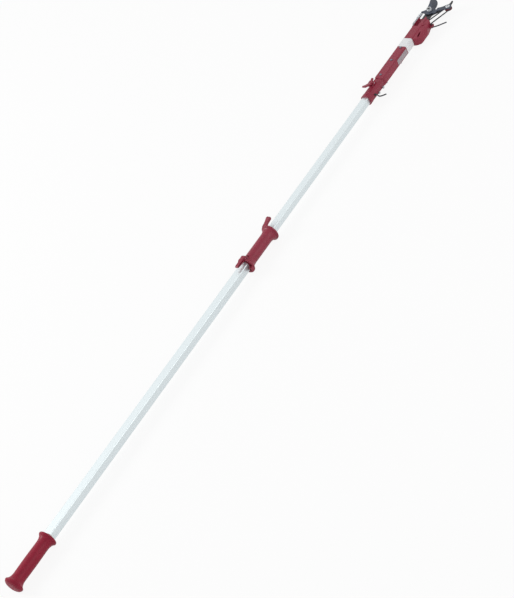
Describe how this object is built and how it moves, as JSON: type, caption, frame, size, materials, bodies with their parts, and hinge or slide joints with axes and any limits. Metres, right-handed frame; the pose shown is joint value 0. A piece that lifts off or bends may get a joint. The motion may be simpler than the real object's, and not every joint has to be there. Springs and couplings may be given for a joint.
{
  "type": "tree pruner pole",
  "caption": "Telescopic tree pruner pole with square aluminium tubes, red grips and a pull-to-cut bypass head worked by a cord and pulleys.",
  "frame": {"origin": "centre of the flat butt of the end grip, on the pole's axis", "axes": "+X along the pole towards the head; +Z out of the head's front, the side with the pivot nut; -Y towards the cord lever and the hook, +Y towards the return spring"},
  "size_m": [2.3684, 0.1072, 0.0682],
  "materials": {
    "tube": "satin",
    "red_shell": "satin",
    "red_pulley": "satin",
    "black_nylon": "matte",
    "zinc": "satin",
    "white_nylon": "matte",
    "grey_plate": "matte",
    "black_steel": "gloss",
    "blade_steel": "satin",
    "bush": "satin",
    "cord": "matte"
  },
  "bodies": {
    "lower_pole": {"lower_tube": "tube", "end_grip": "red_shell", "tube_plug": "black_nylon", "grip_screw": "zinc", "grip_ferrule": "white_nylon", "mid_grip": "red_shell", "top_bush": "black_nylon", "grip_set_screws": "zinc", "clamp_pin": "zinc", "clamp_shoe": "black_nylon"},
    "clamp_lever": {"clamp_lever": "red_shell"},
    "upper_pole": {"upper_tube": "tube", "slider_plug": "black_nylon", "collar": "red_shell", "collar_bolts": "zinc", "collar_nuts": "zinc", "latch_pin": "zinc", "tube_head_plug": "black_nylon", "collar_knot": "cord", "collar_tail": "cord", "cord_inner": "cord"},
    "collar_latch": {"latch": "red_shell"},
    "head": {"housing_front": "red_shell", "housing_back": "red_shell", "glide_strip": "white_nylon", "glide_screws": "zinc", "shell_screws": "zinc", "label_band": "white_nylon", "side_plate": "grey_plate", "counter_blade": "black_steel", "shank_screw": "black_steel", "pivot_bolt": "black_steel", "pivot_nut": "zinc", "nut_ring": "white_nylon", "spring_pin": "zinc", "return_spring": "zinc", "guide_pin": "zinc", "cord_lug_knot": "cord", "lug_tail": "cord", "cord_lug_end": "cord", "cord_lug_strand": "cord", "cord_body_strand": "cord", "cord_guide_turn": "cord"},
    "guide_pulley": {"guide_pulley": "red_pulley"},
    "blade": {"cutting_blade": "blade_steel", "pivot_bush": "bush", "pulley_screw": "black_steel", "pulley_nut": "zinc", "cord_lever_turn": "cord"},
    "lever_pulley": {"lever_pulley": "red_pulley"}
  },
  "joints": [
    {"name": "telescope", "type": "slide", "parent": "lower_pole", "child": "upper_pole", "axis": [1, 0, 0], "range_m": [-0.56, 0]},
    {"name": "clamp_lever", "type": "hinge", "parent": "lower_pole", "child": "clamp_lever", "pos_m": [1.157, 0, 0.024], "axis": [0, 1, 0], "range_deg": [0, 95]},
    {"name": "collar_latch", "type": "hinge", "parent": "upper_pole", "child": "collar_latch", "pos_m": [1.928, 0.005, 0.021], "axis": [0, 1, 0], "range_deg": [-16, 25]},
    {"name": "head_slide", "type": "slide", "parent": "upper_pole", "child": "head", "axis": [1, 0, 0], "range_m": [0, 0.113], "stiffness_N_per_m": 250, "springref_m": -0.06, "deforming": ["cord_inner"]},
    {"name": "blade_pivot", "type": "hinge", "parent": "head", "child": "blade", "pos_m": [2.3, 0.002, 0.004], "axis": [0, 0, -1], "range_deg": [0, 54], "deforming": ["return_spring", "cord_lug_strand", "cord_body_strand"]},
    {"name": "lever_pulley", "type": "hinge", "parent": "blade", "child": "lever_pulley", "pos_m": [2.31613, -0.05993, 0.0061], "axis": [0, 0, 1], "continuous": true},
    {"name": "guide_pulley", "type": "hinge", "parent": "head", "child": "guide_pulley", "pos_m": [2.2215, -0.018, 0.0061], "axis": [0, 0, 1], "continuous": true}
  ],
  "couplings": [
    {"joint": "blade_pivot", "follows": "head_slide", "rad_per_m": 8.34},
    {"joint": "lever_pulley", "follows": "head_slide", "rad_per_m": 61.4},
    {"joint": "guide_pulley", "follows": "head_slide", "rad_per_m": 105}
  ]
}
